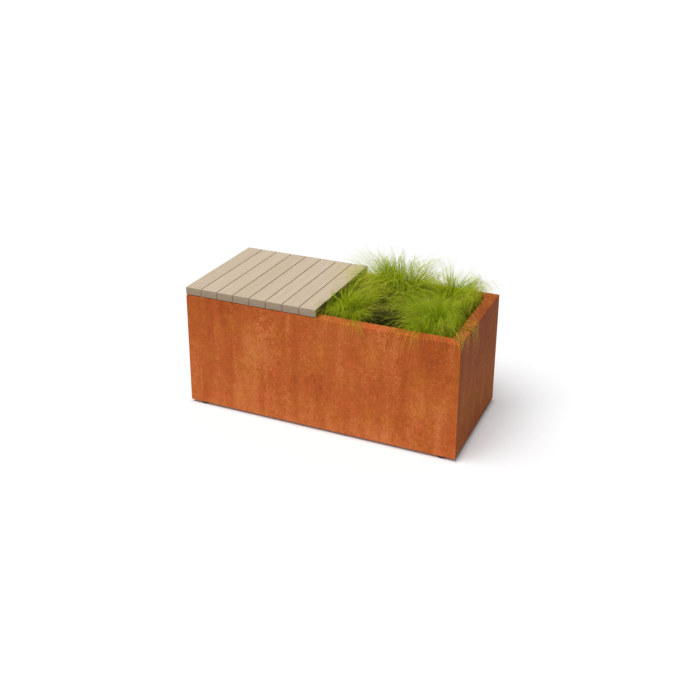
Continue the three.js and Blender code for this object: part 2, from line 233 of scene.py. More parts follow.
def layer(tree, place, size, detail, weight, total=None):
    """Adds a noise of features of that size, centred on zero and times weight, to a running total."""
    made = node(tree, "ShaderNodeTexNoise", {"Vector": place, "Scale": 1 / size, "Detail": detail})
    centred = node(
        tree,
        "ShaderNodeMath",
        {0: made.outputs["Fac"], 1: weight, 2: -weight * MIDDLE},
        operation="MULTIPLY_ADD",
    )
    if total is None:
        return centred.outputs[0]
    return node(tree, "ShaderNodeMath", {0: total, 1: centred.outputs[0]}, operation="ADD").outputs[0]


def specks(tree, place, cluster_place, size, weight, total):
    """Adds weight to a running total in specks, where a fine and a broad noise are both high."""
    fine = node(tree, "ShaderNodeTexNoise", {"Vector": place, "Scale": 1 / size, "Detail": 1.0})
    spread = {"Vector": cluster_place, "Scale": 1 / (CLUSTER * size), "Detail": 4.0}
    broad = node(tree, "ShaderNodeTexNoise", spread)
    both = node(tree, "ShaderNodeMath", {0: fine.outputs["Fac"], 1: broad.outputs["Fac"]}, operation="ADD")
    start, whole = SPECK_EDGE
    rising = {"Value": both.outputs[0], "From Min": start, "From Max": whole, "To Min": 0.0, "To Max": weight}
    spots = node(tree, "ShaderNodeMapRange", rising)
    return node(tree, "ShaderNodeMath", {0: total, 1: spots.outputs[0]}, operation="ADD").outputs[0]


# %% How light the coat is from place to place
CLOUDS = (300 * MM, 2.0, 0.9)  # the size of the clouds, how fine their detail is, and how much they show
RUNS = (55 * MM, 3.0, 1.0)  # the same for the runs of water, by their width
MOTTLES = (34 * MM, 3.0, 0.55)
FRECKLES = (11 * MM, 3.0, 0.9)
SPECKS = (7 * MM, 0.4)  # the size of the pale specks, and how much they show
STAINS = (16 * MM, -0.25)  # the same for the dark stains
RUN_LENGTH = 9  # how many times longer than wide a run is
CLOUD_PLACE = (1.3, 0.5, 0.0)  # moves the clouds, so that the paler ones lie where the photograph has them


def coat_shade(tree, place, aside, floor_bounce_glow):
    """How light the coat is, from 0 to 1. Near its foot it is painted paler, standing in for light from the
    floor.
    """
    tall = node(tree, "ShaderNodeMapping", {"Vector": place, "Scale": (1, 1, 1 / RUN_LENGTH)}).outputs[0]
    clouds = node(tree, "ShaderNodeMapping", {"Vector": place, "Location": CLOUD_PLACE}).outputs[0]
    total = layer(tree, clouds, *CLOUDS)
    total = layer(tree, tall, *RUNS, total)
    total = layer(tree, place, *MOTTLES, total)
    total = layer(tree, place, *FRECKLES, total)
    total = specks(tree, place, tall, *SPECKS, total)
    total = specks(tree, aside, place, *STAINS, total)
    # Painted light: the coat grows paler towards the ground, standing in for light thrown back by the floor
    height = node(tree, "ShaderNodeSeparateXYZ", {"Vector": place}).outputs["Z"]
    foot, rim = MIDDLE + floor_bounce_glow, MIDDLE - floor_bounce_glow
    falling = {"Value": height, "From Max": RIM_TOP, "To Min": foot, "To Max": rim}
    glow = node(tree, "ShaderNodeMapRange", falling)
    return node(tree, "ShaderNodeMath", {0: total, 1: glow.outputs[0]}, operation="ADD").outputs[0]


# %% [markdown]
# Whole patches of the coat lean to yellow or to red, which a second noise brings in as a tint. What faces the
# sky may be given other colours than the sides; where they are lighter, that is painted light on the top and
# painted shade on the sides. Close up the coat is gritty, and that is a bump, because the grit is too fine to
# be modelled.

# %% Rust
FACES_UP = (0.4, 0.9)  # upward part of a normal, between which the sides' colours turn to the rim's
PATCH = 110 * MM  # size of the redder and the yellower patches
PATCH_TINTS = [(0.36, "FFE9DE"), (0.5, "FFF0E2"), (0.64, "FFFAD0")]
GRIT = 1.6 * MM
GRIT_DEPTH = GRIT / 4
RUST_ROUGHNESS = 0.82


def rust(name, colours, colours_on_top, floor_bounce_glow):
    """Rust whose dark, middle and light colours differ between its sides and what faces the sky."""
    material, tree = new_material(name)
    place = node(tree, "ShaderNodeTexCoord").outputs["Object"]
    aside = node(tree, "ShaderNodeMapping", {"Vector": place, "Location": (3, 5, 7)}).outputs[0]
    shade = coat_shade(tree, place, aside, floor_bounce_glow)
    # Where the top's colours are lighter than the sides', that is painted light on top and painted shade on
    # the sides
    on_side = node(tree, "ShaderNodeValToRGB", {"Fac": shade}, stops=colours).outputs["Color"]
    on_top = node(tree, "ShaderNodeValToRGB", {"Fac": shade}, stops=colours_on_top).outputs["Color"]
    facing = node(tree, "ShaderNodeNewGeometry").outputs["Normal"]
    upwards = node(tree, "ShaderNodeSeparateXYZ", {"Vector": facing}).outputs["Z"]
    rising = {"Value": upwards, "From Min": FACES_UP[0], "From Max": FACES_UP[1]}
    is_top = node(tree, "ShaderNodeMapRange", rising).outputs[0]
    plain = node(tree, "ShaderNodeMix", {"Factor": is_top, "A": on_side, "B": on_top}, data_type="RGBA")
    patches = node(tree, "ShaderNodeTexNoise", {"Vector": aside, "Scale": 1 / PATCH, "Detail": 4.0})
    tint = node(tree, "ShaderNodeValToRGB", {"Fac": patches.outputs["Fac"]}, stops=PATCH_TINTS)
    coat = node(
        tree,
        "ShaderNodeMix",
        {"Factor": 1.0, "A": plain.outputs["Result"], "B": tint.outputs["Color"]},
        data_type="RGBA",
        blend_type="MULTIPLY",
    )
    grit = node(tree, "ShaderNodeTexNoise", {"Vector": place, "Scale": 1 / GRIT, "Detail": 3.0})
    relief = {"Height": grit.outputs["Fac"], "Strength": 0.25, "Distance": GRIT_DEPTH}
    bump = node(tree, "ShaderNodeBump", relief)
    surface = node(
        tree,
        "ShaderNodeBsdfPrincipled",
        {
            "Base Color": coat.outputs["Result"],
            "Roughness": RUST_ROUGHNESS,
            "Specular IOR Level": 0.25,
            "Normal": bump.outputs[0],
        },
    )
    node(tree, "ShaderNodeOutputMaterial", {"Surface": surface.outputs[0]})
    return material


# %% [markdown]
# The right end is browner and darker than the front. Its coat is partly browner rust and partly painted
# shade, as that side faces away from the light, and its foot gets more painted floor light. Its rim faces the
# light and is nearly as orange as the rest of the rim. The floor and the inner wall of the planter stay damp,
# so they are brown.

# %% Rust for the panels
ORANGE = [(0.0, "AE5620"), (0.5, "CA6D33"), (1.0, "E28E54")]
BROWN_AND_SHADE = [(0.0, "874415"), (0.5, "9F551E"), (1.0, "B0692B")]
BROWN_RIM = [(0.0, "985022"), (0.5, "B0632B"), (1.0, "C4793C")]
corten = rust("weathering_steel", ORANGE, ORANGE, 0.15)
# Painted shade: the right end's sides get the darker brown, its rim lighter colours, its foot more painted
# light
brown_and_shaded_corten = rust("brown_shaded_weathering_steel", BROWN_AND_SHADE, BROWN_RIM, 0.26)
give(corten, ["front_panel", "back_panel", "left_end_panel"])
give(brown_and_shaded_corten, ["right_end_panel", "base_panel", "divider_panel"])

# %% [markdown]
# ## Metal fittings
# The rails are extruded aluminium, the screws and bolts are stainless, and the stems and nuts of the feet
# are zinc plated. The feet stand on pads of black nylon, which doesn't scratch a floor and keeps the steel
# off the wet ground. None of them shows from above, but they do when the box is tipped. A bare metal has
# one colour, and what tells it from another is how evenly it shines, so a noise varies the roughness.

# %% Metals for the fittings
SHINE_SPREAD = 0.08  # how far the roughness goes up and down


def metal(name, colour, roughness, grain):
    """A bare metal with places of that size where it is a little smoother or rougher."""
    material, tree = new_material(name)
    place = node(tree, "ShaderNodeTexCoord").outputs["Object"]
    grains = node(tree, "ShaderNodeTexNoise", {"Vector": place, "Scale": 1 / grain, "Detail": 3.0})
    least, most = roughness - SHINE_SPREAD, roughness + SHINE_SPREAD
    shine = {"Value": grains.outputs["Fac"], "To Min": least, "To Max": most}
    spread = node(tree, "ShaderNodeMapRange", shine)
    surface = node(
        tree,
        "ShaderNodeBsdfPrincipled",
        {"Base Color": linear(colour), "Metallic": 1.0, "Roughness": spread.outputs[0]},
    )
    node(tree, "ShaderNodeOutputMaterial", {"Surface": surface.outputs[0]})
    return material


def nodes_named(*starts):
    """The names of the CAD nodes that start with one of these."""
    return [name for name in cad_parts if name.startswith(starts)]


give(metal("extruded_aluminium", "C2C5C7", 0.42, 6 * MM), nodes_named("deck_rail"))
give(metal("stainless_steel", "CBCCCD", 0.3, 2 * MM), nodes_named("slat_screw", "deck_bolt"))
give(metal("zinc_plate", "B4B8BB", 0.45, 4 * MM), nodes_named("foot_stem", "foot_nut"))

# %% Nylon for the pads
MOULD_GRAIN = 0.7 * MM  # of the spark-eroded mould, which leaves the nylon matt
MOULD_DEPTH = MOULD_GRAIN / 5

nylon, tree = new_material("moulded_nylon")
place = node(tree, "ShaderNodeTexCoord").outputs["Object"]
grains = node(tree, "ShaderNodeTexNoise", {"Vector": place, "Scale": 1 / MOULD_GRAIN, "Detail": 2.0})
height = grains.outputs["Fac"]
black = node(tree, "ShaderNodeValToRGB", {"Fac": height}, stops=[(0.3, "1B1B1C"), (0.7, "262627")])
bump = node(tree, "ShaderNodeBump", {"Height": height, "Strength": 0.2, "Distance": MOULD_DEPTH})
surface = node(
    tree,
    "ShaderNodeBsdfPrincipled",
    {"Base Color": black.outputs["Color"], "Roughness": 0.6, "IOR": 1.53, "Normal": bump.outputs[0]},
)
node(tree, "ShaderNodeOutputMaterial", {"Surface": surface.outputs[0]})
give(nylon, nodes_named("foot_pad"))

# %% [markdown]
# ## Modelling helpers
# Each new piece starts as a primitive, with nothing else selected, and its place goes into its mesh.
# Then the vertices, edges or faces that the next operator should act on are picked by where they are.

# %% Start a piece and pick parts of it
def start(add, name, scale=(1, 1, 1), **settings):
    """Adds a primitive at its size and place, which go into its mesh, and names it."""
    bpy.ops.object.select_all(action="DESELECT")
    add(**settings)
    bpy.context.object.scale = scale
    bpy.ops.object.transform_apply(location=True, rotation=True, scale=True)
    bpy.context.object.name = name
    return bpy.context.object


def pick(piece, mode, wanted):
    """Enters edit mode with only those vertices, edges or faces selected that 'wanted' says."""
    bpy.context.view_layer.objects.active = piece
    bpy.ops.object.mode_set(mode="EDIT")
    bpy.ops.mesh.select_mode(type=mode)
    bpy.ops.mesh.select_all(action="DESELECT")
    bpy.ops.object.mode_set(mode="OBJECT")
    items = {"VERT": piece.data.vertices, "EDGE": piece.data.edges, "FACE": piece.data.polygons}[mode]
    for item in items:
        item.select = wanted(item)
    bpy.ops.object.mode_set(mode="EDIT")


def span(piece, edge):
    """The vector from one end of an edge to the other."""
    a, b = (piece.data.vertices[k].co for k in edge.vertices)
    return b - a


# %% Read and set points, and put a piece in its place
NEAR = 0.1 * MM  # how near a plane a point lies that counts as on it
FACING = 0.7  # part of a face's normal along a direction, from which it faces that way


def points_of(piece):
    """The places of a mesh's vertices as an array that can be changed."""
    places = np.empty(len(piece.data.vertices) * 3)
    piece.data.vertices.foreach_get("co", places)
    return places.reshape(-1, 3)


def set_points(piece, places):
    """Moves a mesh's vertices to these places."""
    piece.data.vertices.foreach_set("co", places.ravel())
    piece.data.update()


def settle(piece, node_name, material, body="box"):
    """Puts a finished piece in the place of a CAD node."""
    piece.data.materials.clear()
    piece.data.materials.append(material)
    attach(piece, body)
    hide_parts(node_name)
    return piece


# %% [markdown]
# ## Deck boards
# The seat is eight planed hardwood boards with a small gap between them. A planed board isn't a sharp
# block: its edges are eased by a few strokes of a plane, and its face is a little uneven along the grain,
# which the light shows. Its underside clears the steel at the edges, so that rain doesn't creep in, and
# from outside that gap is a dark line. One board is modelled from the first CAD slat and copied to the
# places of the rest.

# %% One board
EASE = 1.6 * MM
EASE_STEPS = 3
EASED = 1.1 * EASE  # from a board's side, and within it lies the eased edge
LENGTH_CUTS = 24
WIDTH_CUTS = 4
SMOOTH_UP_TO = math.radians(30)
UNDERCUT = 3 * MM  # how far a board's lower edge clears the steel
UNDERCUT_DEPTH = 9 * MM  # and how far in under the board that gap reaches

first_low, first_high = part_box("seat_slat_1")
board_size = first_high - first_low
board = start(
    bpy.ops.mesh.primitive_cube_add,
    "deck_board_1",
    size=1,
    location=(first_low + first_high) / 2,
    scale=board_size,
)
pick(board, "EDGE", lambda edge: True)
bpy.ops.mesh.bevel(offset=EASE, segments=EASE_STEPS, affect="EDGES")
bpy.ops.mesh.select_all(action="DESELECT")
bpy.ops.object.mode_set(mode="OBJECT")


def undercut(piece, axis, end):
    """Cuts a board across near one end, and raises the lower edge at that end."""
    direction = Vector([float(k == axis) for k in range(3)])
    inside = end - math.copysign(UNDERCUT_DEPTH, end)

    def on_lower_edge(corner):
        return corner.co.z < first_low.z + EASED and abs(corner.co[axis] - end) < EASED

    pick(piece, "FACE", lambda face: True)
    bpy.ops.mesh.bisect(plane_co=direction * inside, plane_no=direction)
    bpy.ops.object.mode_set(mode="OBJECT")
    pick(piece, "VERT", on_lower_edge)
    bpy.ops.transform.translate(value=(0, 0, UNDERCUT))
    bpy.ops.object.mode_set(mode="OBJECT")


undercut(board, 1, first_low.y)
undercut(board, 1, first_high.y)
pick(board, "EDGE", lambda edge: abs(span(board, edge).y) > board_size.y / 2)
bpy.ops.mesh.subdivide(number_cuts=LENGTH_CUTS)
bpy.ops.object.mode_set(mode="OBJECT")
pick(board, "EDGE", lambda edge: abs(span(board, edge).x) > board_size.x / 2)
bpy.ops.mesh.subdivide(number_cuts=WIDTH_CUTS)
bpy.ops.object.mode_set(mode="OBJECT")
bpy.ops.object.shade_smooth_by_angle(angle=SMOOTH_UP_TO)
print("one board:", len(board.data.polygons), "faces")

# %% Its copies
UNEVEN = 0.25 * MM
WAVE_LENGTH = 90 * MM  # of the unevenness, along the grain
WAVE_WIDTH = 30 * MM


def grain_waves(piece, number):
    """Lowers the top face a little here and there along the grain, differently on each board."""
    places = points_of(piece)
    for place in places:
        if place[2] > first_high.z - NEAR:
            spot = Vector((place[0] / WAVE_WIDTH, place[1] / WAVE_LENGTH, number))
            place[2] -= UNEVEN * (1 + noise.noise(spot)) / 2
    set_points(piece, places)


boards = [board]
for number in range(2, len(nodes_named("seat_slat")) + 1):
    low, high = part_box(f"seat_slat_{number}")
    copied = board.copy()
    copied.data = board.data.copy()
    copied.name = f"deck_board_{number}"
    copied.data.transform(Matrix.Translation(low - first_low))
    bpy.context.collection.objects.link(copied)
    boards.append(copied)
undercut(board, 0, first_low.x)
for number, piece in enumerate(boards, 1):
    grain_waves(piece, number)
print("boards:", len(boards))

# %% [markdown]
# The wood has gone pale and slightly grey outdoors. Its grain runs along each board as fine, faint lines,
# and no two boards are quite the same tone. The board's number is kept on its vertices as an attribute,
# which moves the pattern from board to board, so that the grain doesn't run on from one to the next. The
# sawn ends drink more oil and dirt than the faces, so they are darker.

# %% The wood
GRAIN = 2.4 * MM
FIGURE = 30 * MM  # the broad figure of the wood
GRAIN_LENGTH = 45  # how many times longer than wide a line of either is

for number, piece in enumerate(boards, 1):
    own_number = piece.data.attributes.new("board", "FLOAT", "POINT")
    own_number.data.foreach_set("value", [float(number)] * len(piece.data.vertices))

wood, tree = new_material("greyed_hardwood")
place = node(tree, "ShaderNodeTexCoord").outputs["Object"]
number = node(tree, "ShaderNodeAttribute", attribute_name="board").outputs["Fac"]
along = node(tree, "ShaderNodeMapping", {"Vector": place, "Scale": (1, 1 / GRAIN_LENGTH, 1)}).outputs[0]
lines = node(
    tree,
    "ShaderNodeTexNoise",
    {"Vector": along, "W": number, "Scale": 1 / GRAIN, "Detail": 3.0},
    noise_dimensions="4D",
).outputs["Fac"]
figure = node(
    tree,
    "ShaderNodeTexNoise",
    {"Vector": along, "W": number, "Scale": 1 / FIGURE, "Detail": 2.0},
    noise_dimensions="4D",
).outputs["Fac"]
tone = node(tree, "ShaderNodeTexWhiteNoise", {"W": number}, noise_dimensions="1D").outputs["Value"]
tones = [(0.0, "D3C2A9"), (0.5, "D6C5AD"), (1.0, "DAC7B1")]
face_colour = node(tree, "ShaderNodeValToRGB", {"Fac": tone}, stops=tones).outputs["Color"]
grain_tint = node(tree, "ShaderNodeValToRGB", {"Fac": lines}, stops=[(0.3, "F5F3EF"), (0.62, "FFFFFF")])
figure_tint = node(tree, "ShaderNodeValToRGB", {"Fac": figure}, stops=[(0.3, "F8F6F2"), (0.7, "FFFFFF")])
colour = face_colour
for tint in (grain_tint, figure_tint):
    colour = node(
        tree,
        "ShaderNodeMix",
        {"Factor": 1.0, "A": colour, "B": tint.outputs["Color"]},
        data_type="RGBA",
        blend_type="MULTIPLY",
    ).outputs["Result"]
surface = node(
    tree,
    "ShaderNodeBsdfPrincipled",
    {"Base Color": colour, "Roughness": 0.75, "Specular IOR Level": 0.3},
)
node(tree, "ShaderNodeOutputMaterial", {"Surface": surface.outputs[0]})
print("grain of", round(GRAIN / MM, 1), "mm on", len(boards), "boards")

# %% The sawn ends
RING = 3 * MM  # thickness of a growth ring
RING_LENGTH = 9  # how many times longer than thick it looks where the board is cut across

end_grain, tree = new_material("sawn_end_grain")
place = node(tree, "ShaderNodeTexCoord").outputs["Object"]
flat = node(tree, "ShaderNodeMapping", {"Vector": place, "Scale": (1 / RING_LENGTH, 1, 1)}).outputs[0]
rings = node(tree, "ShaderNodeTexNoise", {"Vector": flat, "Scale": 1 / RING, "Detail": 3.0}).outputs["Fac"]
ring_colour = node(tree, "ShaderNodeValToRGB", {"Fac": rings}, stops=[(0.3, "A28E79"), (0.7, "AE9D82")])
sawn = {"Base Color": ring_colour.outputs["Color"], "Roughness": 0.85}
surface = node(tree, "ShaderNodeBsdfPrincipled", sawn)
node(tree, "ShaderNodeOutputMaterial", {"Surface": surface.outputs[0]})

for number, piece in enumerate(boards, 1):
    settle(piece, f"seat_slat_{number}", wood)
    piece.data.materials.append(end_grain)
    for face in piece.data.polygons:
        face.material_index = 1 if abs(face.normal.y) > FACING else 0
print("boards with sawn ends:", len(boards))

# %% [markdown]
# The last board's side stands against the plants, which keep it damp and shade it. It is greenish from the
# damp, and its dark colour is painted shade from the plants. Only the faces that look that way get this third
# material.

# %% The damp, shaded side
ALGAE = 25 * MM  # size of the greener places

damp_shaded_wood, tree = new_material("damp_green_shaded_hardwood")
place = node(tree, "ShaderNodeTexCoord").outputs["Object"]
algae = node(tree, "ShaderNodeTexNoise", {"Vector": place, "Scale": 1 / ALGAE, "Detail": 4.0}).outputs["Fac"]
# Dark greens that paint the plants' shade on the damp wood
damp_shade_colour = node(tree, "ShaderNodeValToRGB", {"Fac": algae}, stops=[(0.35, "4A4628"), (0.65, "726A44")])
damp_and_shade = {"Base Color": damp_shade_colour.outputs["Color"], "Roughness": 0.7}
surface = node(tree, "ShaderNodeBsdfPrincipled", damp_and_shade)
node(tree, "ShaderNodeOutputMaterial", {"Surface": surface.outputs[0]})

boards[-1].data.materials.append(damp_shaded_wood)
for face in boards[-1].data.polygons:
    if face.normal.x > FACING:
        face.material_index = 2
print("damp faces:", sum(face.material_index == 2 for face in boards[-1].data.polygons))

# %% [markdown]
# ## Soil
# The soil lies two fingers' width under the rim and is nowhere level. A block is modelled in its place, its
# top is cut into a fine grid, and noise lifts and lowers the grid. Loose crumbs are then strewn over it:
# one rough lump is modelled and copied by the hundred, so it has few faces.

# %% The bed of soil
SOIL_CUTS = 70
SOIL_BUMP = 5 * MM
SOIL_LUMP = 22 * MM
FINER = 2.3  # how many times finer the small lumps are than the large ones
SMALL_SHARE = 0.5  # how high they are beside them

soil_low, soil_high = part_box("soil_fill")
soil_size = soil_high - soil_low
soil = start(
    bpy.ops.mesh.primitive_cube_add,
    "soil_bed",
    size=1,
    location=(soil_low + soil_high) / 2,
    scale=soil_size,
)
pick(soil, "FACE", lambda face: face.normal.z > FACING)
bpy.ops.mesh.subdivide(number_cuts=SOIL_CUTS)
bpy.ops.object.mode_set(mode="OBJECT")


def soil_height(x, y):
    """The height of the soil at a place, which the crumbs and plants stand on."""
    spot = Vector((x, y, 0)) / SOIL_LUMP
    bump = noise.noise(spot) + SMALL_SHARE * noise.noise(spot * FINER)
    edge = min(x - soil_low.x, soil_high.x - x, y - soil_low.y, soil_high.y - y)
    return soil_high.z + SOIL_BUMP * bump * min(1.0, max(edge, 0) / SOIL_LUMP)


places = points_of(soil)
for place in places:
    if place[2] > soil_high.z - NEAR:
        place[2] = soil_height(place[0], place[1])
set_points(soil, places)
print("soil:", len(soil.data.polygons), "faces")

# %% [markdown]
# Crumbs, pebbles and leaves are each one small shape, turned every way. Blender could copy them as linked
# objects, but then each would be a piece of its own. So all copies of a shape are points and faces of one
# mesh, and each copy's tone is kept as an attribute that its material can read.

# %% Copying a small shape many times
def scatter(shape, name, moves, tones):
    """One piece made of a copy of the shape for each 4 x 4 move, with each copy's tone as its attribute."""
    points = points_of(shape)
    faces = [list(face.vertices) for face in shape.data.polygons]
    count = len(points)
    turned = np.einsum("nij,pj->npi", moves[:, :3, :3], points) + moves[:, None, :3, 3]
    all_faces = [[v + k * count for v in face] for k in range(len(moves)) for face in faces]
    mesh = bpy.data.meshes.new(name)
    mesh.from_pydata(turned.reshape(-1, 3), [], all_faces)
    tone = mesh.attributes.new("tone", "FLOAT", "POINT")
    tone.data.foreach_set("value", np.repeat(tones, count))
    piece = bpy.data.objects.new(name, mesh)
    bpy.context.collection.objects.link(piece)
    return piece


def turns(rng, count):
    """Evenly spread random rotations, as 3 x 3 matrices."""
    q = rng.normal(size=(count, 4))
    w, x, y, z = (q / np.linalg.norm(q, axis=1)[:, None]).T
    rows = [
        [1 - 2 * (y * y + z * z), 2 * (x * y - z * w), 2 * (x * z + y * w)],
        [2 * (x * y + z * w), 1 - 2 * (x * x + z * z), 2 * (y * z - x * w)],
        [2 * (x * z - y * w), 2 * (y * z + x * w), 1 - 2 * (x * x + y * y)],
    ]
    return np.moveaxis(np.array(rows), 2, 0)


# %% Crumbs on the soil
CRUMBS = 1800
CRUMB_SIZES = (1.5 * MM, 5 * MM)
CRUMB_MARGIN = 1.3 * CRUMB_SIZES[1]  # from the soil's edge, so that no crumb touches the steel
CRUMB_ROUGHNESS = 0.22  # of its radius, how far a crumb's corners are moved
CRUMB_RISE = 0.4  # of its radius, how far its middle lies over the soil
LUMP_SHARES = (0.7, 1.0)  # of a crumb's size that it may have along each axis

rng = np.random.default_rng(11)
lump = start(bpy.ops.mesh.primitive_ico_sphere_add, "crumb", subdivisions=1, radius=1)
pick(lump, "FACE", lambda face: True)
bpy.ops.transform.vertex_random(offset=CRUMB_ROUGHNESS, seed=3)
bpy.ops.object.mode_set(mode="OBJECT")

least, most = CRUMB_SIZES
radii = least + (most - least) * rng.random(CRUMBS) ** 3  # cubed, because most crumbs are small
moves = np.tile(np.eye(4), (CRUMBS, 1, 1))
moves[:, :3, :3] = turns(rng, CRUMBS) * radii[:, None, None] * rng.uniform(*LUMP_SHARES, (CRUMBS, 1, 3))
for move, radius in zip(moves, radii):
    x = rng.uniform(soil_low.x + CRUMB_MARGIN, soil_high.x - CRUMB_MARGIN)
    y = rng.uniform(soil_low.y + CRUMB_MARGIN, soil_high.y - CRUMB_MARGIN)
    move[:3, 3] = x, y, soil_height(x, y) + CRUMB_RISE * radius
crumbs = scatter(lump, "soil_crumbs", moves, rng.random(CRUMBS))
bpy.data.objects.remove(lump)
print("crumbs:", CRUMBS)

# %% Soil colours
# Moist planting soil is nearly black in its cracks, brown on its clods, and has no shine
CLODS = (9 * MM, 4.0, 1.6)  # their size, how fine their detail is, and how much they show

soil_material, tree = new_material("moist_planting_soil")
place = node(tree, "ShaderNodeTexCoord").outputs["Object"]
clods = layer(tree, place, *CLODS)
shade = node(tree, "ShaderNodeMath", {0: clods, 1: MIDDLE}, operation="ADD").outputs[0]
earths = [(0.0, "1E1610"), (0.5, "3A2B20"), (1.0, "5A4634")]
earth = node(tree, "ShaderNodeValToRGB", {"Fac": shade}, stops=earths).outputs["Color"]
surface = node(tree, "ShaderNodeBsdfPrincipled", {"Base Color": earth, "Roughness": 0.95})
node(tree, "ShaderNodeOutputMaterial", {"Surface": surface.outputs[0]})

settle(soil, "soil_fill", soil_material)
crumbs.data.materials.append(soil_material)
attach(crumbs, "box")
print("soil and crumbs are of", soil_material.name)

# %% [markdown]
# ## Drainage
# Under the soil lies a bed of fired clay pebbles, so that the roots never stand in water, and a fleece
# keeps the soil out of it. One lump serves for every pebble. The places come from a loose grid in three
# layers, each moved and turned at random. The fleece is a thin sheet that sags a little between the
# pebbles, so it is a grid with noise and a thickness.

# %% Clay pebbles
PEBBLE = 8.5 * MM  # half the width of a large one
PEBBLE_PITCH = 1.9 * PEBBLE
PEBBLE_SHIFT = 0.25 * PEBBLE  # the most that one lies off the grid
PEBBLE_ROUGHNESS = 0.12  # of its radius
PEBBLE_SHARES = (0.7, 0.95)  # of a large one's size that each may have along each axis

bed_low, bed_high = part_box("drainage_layer")
pebble = start(bpy.ops.mesh.primitive_ico_sphere_add, "pebble", subdivisions=1, radius=1)
pick(pebble, "FACE", lambda face: True)
bpy.ops.transform.vertex_random(offset=PEBBLE_ROUGHNESS, seed=5)
bpy.ops.object.mode_set(mode="OBJECT")

rng = np.random.default_rng(13)
axes = [np.arange(a + PEBBLE, b - PEBBLE, PEBBLE_PITCH) for a, b in zip(bed_low, bed_high)]
places = np.stack(np.meshgrid(*axes, indexing="ij"), axis=-1).reshape(-1, 3)
places += rng.uniform(0, PEBBLE_SHIFT, places.shape)
count = len(places)
moves = np.tile(np.eye(4), (count, 1, 1))
moves[:, :3, :3] = turns(rng, count) * PEBBLE * rng.uniform(*PEBBLE_SHARES, (count, 1, 3))
moves[:, :3, 3] = places
pebbles = scatter(pebble, "clay_pebbles", moves, rng.random(count))
bpy.data.objects.remove(pebble)
print("pebbles:", count)

# %% Fired clay
# Clay that is blown up in a kiln is rough and matt, and each pebble has a tone of its own
PORES = (3 * MM, 3.0, 0.5)  # their size, how fine their detail is, and how much they show

clay, tree = new_material("fired_clay")
place = node(tree, "ShaderNodeTexCoord").outputs["Object"]
tone = node(tree, "ShaderNodeAttribute", attribute_name="tone").outputs["Fac"]
pores = layer(tree, place, *PORES)
shade = node(tree, "ShaderNodeMath", {0: pores, 1: tone}, operation="ADD").outputs[0]
clays = [(0.0, "6E4632"), (0.5, "915F44"), (1.0, "B07C5C")]
fired = node(tree, "ShaderNodeValToRGB", {"Fac": shade}, stops=clays).outputs["Color"]
surface = node(tree, "ShaderNodeBsdfPrincipled", {"Base Color": fired, "Roughness": 0.95})
node(tree, "ShaderNodeOutputMaterial", {"Surface": surface.outputs[0]})
settle(pebbles, "drainage_layer", clay)
print("pebbles are of", clay.name)

# %% The fleece
FLEECE_CUTS = 60
FLEECE_THICKNESS = 1.2 * MM
FLEECE_SAG = 0.35 * MM
FIBRE = 0.8 * MM  # spacing of the felted fibres, which show as a faint speckle
FIBRE_DEPTH = FIBRE / 4

fleece_low, fleece_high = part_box("filter_fleece")
fleece_size = fleece_high - fleece_low
fleece = start(
    bpy.ops.mesh.primitive_grid_add,
    "root_fleece",
    x_subdivisions=FLEECE_CUTS,
    y_subdivisions=FLEECE_CUTS,
    size=1,
    location=(fleece_low + fleece_high) / 2,
    scale=fleece_size,
)
places = points_of(fleece)
for place in places:
    place[2] += FLEECE_SAG * noise.noise(Vector(place) / (2 * PEBBLE))
set_points(fleece, places)
thickness = fleece.modifiers.new("thickness", "SOLIDIFY")
thickness.thickness = FLEECE_THICKNESS
thickness.offset = 0
bpy.ops.object.modifier_apply(modifier=thickness.name)

# A needled fleece scatters light from thousands of pale fibres, so it is matt all over
felt, tree = new_material("needled_fleece")
place = node(tree, "ShaderNodeTexCoord").outputs["Object"]
fibres = node(tree, "ShaderNodeTexNoise", {"Vector": place, "Scale": 1 / FIBRE, "Detail": 2.0}).outputs["Fac"]
felted = node(tree, "ShaderNodeValToRGB", {"Fac": fibres}, stops=[(0.3, "C9C9C2"), (0.7, "E2E2DC")])
bump = node(tree, "ShaderNodeBump", {"Height": fibres, "Strength": 0.3, "Distance": FIBRE_DEPTH})
surface = node(
    tree,
    "ShaderNodeBsdfPrincipled",
    {"Base Color": felted.outputs["Color"], "Roughness": 1.0, "Normal": bump.outputs[0]},
)
node(tree, "ShaderNodeOutputMaterial", {"Surface": surface.outputs[0]})
settle(fleece, "filter_fleece", felt)
print("fleece in m:", round(fleece_size.x, 3), "by", round(fleece_size.y, 3))

# %% [markdown]
# ## Grass
# An ornamental grass is a dense tuft of hair-fine blades. Each blade rises from the foot of the tuft, leans
# outwards and then bends over under its own weight, so a tuft looks like a fountain. Blades keep together
# in wisps, and some lie over the rim, with their tips hanging down outside. Blender's hair could grow such
# blades, but it would have to be turned to a mesh afterwards. So one blade is modelled as a thin, straight,
# three-sided strip with a unit length. It has 56 triangles, which keeps a tuft of 3500 blades under
# 200,000. The code then gives each copy its own length, lean, bend, twist and taper.

# %% One straight blade
BLADE_STEPS = 9

blade = start(
    bpy.ops.mesh.primitive_cylinder_add,
    "one_blade",
    vertices=3,
    radius=1,
    depth=1,
    location=(0, 0, 0.5),
)
pick(blade, "EDGE", lambda edge: abs(span(blade, edge).z) > 0.5)
bpy.ops.mesh.subdivide(number_cuts=BLADE_STEPS - 1)
bpy.ops.object.mode_set(mode="OBJECT")
blade_points = points_of(blade)
blade_faces = [list(face.vertices) for face in blade.data.polygons]
bpy.data.objects.remove(blade)
print("one blade:", len(blade_points), "points,", len(blade_faces), "faces")

